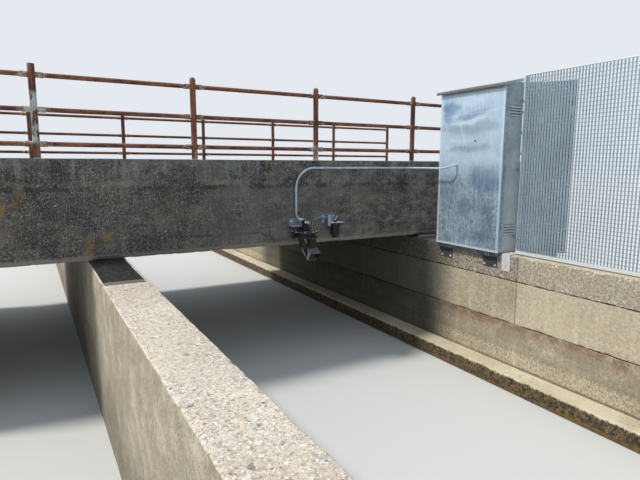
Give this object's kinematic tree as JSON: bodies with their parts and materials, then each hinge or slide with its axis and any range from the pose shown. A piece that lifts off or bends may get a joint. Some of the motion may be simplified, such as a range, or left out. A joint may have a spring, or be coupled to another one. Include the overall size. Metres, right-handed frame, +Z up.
{
  "type": "canal bridge with a flow gauging station",
  "caption": "Short concrete trough bridge over a walled canal, with tube railings, an instrument cabinet, a grating fence and sensors on the beam.",
  "frame": {"origin": "under the middle of the bridge, at the level of the water, on the ground plane the walls stand on", "axes": "+Z up, +X along the bridge towards the cabinet's bank, +Y along the canal, away from the cabinet and fence"},
  "size_m": [9.36, 13.4, 3.42],
  "materials": {
    "wall_concrete": "weathered cast concrete",
    "wet_concrete": "damp, algae-stained concrete",
    "beam_concrete": "dark weathered concrete with exposed aggregate",
    "rusty_steel": "rust with remains of pale paint",
    "cabinet_sheet": "galvanised sheet, spangled",
    "galvanised_steel": "hot-dip galvanised",
    "black_plastic": "matte",
    "grey_plastic": "matte"
  },
  "bodies": {
    "bridge": {"left_wall": "wall_concrete", "left_ledge": "wet_concrete", "left_bearing_course": "wall_concrete", "right_wall_lower": "wall_concrete", "right_wall_middle": "wall_concrete", "right_wall_top": "wall_concrete", "right_ledge": "wet_concrete", "right_bearing_course": "wall_concrete", "left_abutment": "wall_concrete", "right_abutment": "wall_concrete", "near_edge_beam": "beam_concrete", "far_edge_beam": "beam_concrete", "deck_slab": "beam_concrete", "near_posts": "rusty_steel", "near_top_rail": "rusty_steel", "near_middle_rail": "rusty_steel", "near_bottom_rail": "rusty_steel", "far_posts": "rusty_steel", "far_top_rail": "rusty_steel", "far_middle_rail": "rusty_steel", "far_bottom_rail": "rusty_steel", "cabinet_canal_face": "cabinet_sheet", "cabinet_near_side": "cabinet_sheet", "cabinet_far_side": "cabinet_sheet", "cabinet_floor": "cabinet_sheet", "cabinet_door_frame": "cabinet_sheet", "cabinet_roof": "cabinet_sheet", "cabinet_base_angle": "cabinet_sheet", "cabinet_shut_door": "cabinet_sheet", "cabinet_hinges": "cabinet_sheet", "cabinet_brackets": "cabinet_sheet", "fence_panel": "galvanised_steel", "fence_rods": "galvanised_steel", "fence_posts": "galvanised_steel", "fence_clips": "galvanised_steel", "radar_bracket": "galvanised_steel", "radar_head": "black_plastic", "radar_horn": "black_plastic", "level_bracket": "galvanised_steel", "level_sensor": "black_plastic", "sensor_cable": "grey_plastic", "conduit": "grey_plastic", "conduit_entry": "grey_plastic", "conduit_gland": "black_plastic", "conduit_clips": "galvanised_steel"},
    "open_door": {"cabinet_open_door": "cabinet_sheet", "cabinet_lock": "black_plastic"}
  },
  "joints": [
    {"name": "cabinet_door_hinge", "type": "hinge", "parent": "bridge", "child": "open_door", "pos_m": [1.843, -3.841, 1.475], "axis": [0, 0, 1], "range_deg": [-35, 145]}
  ]
}
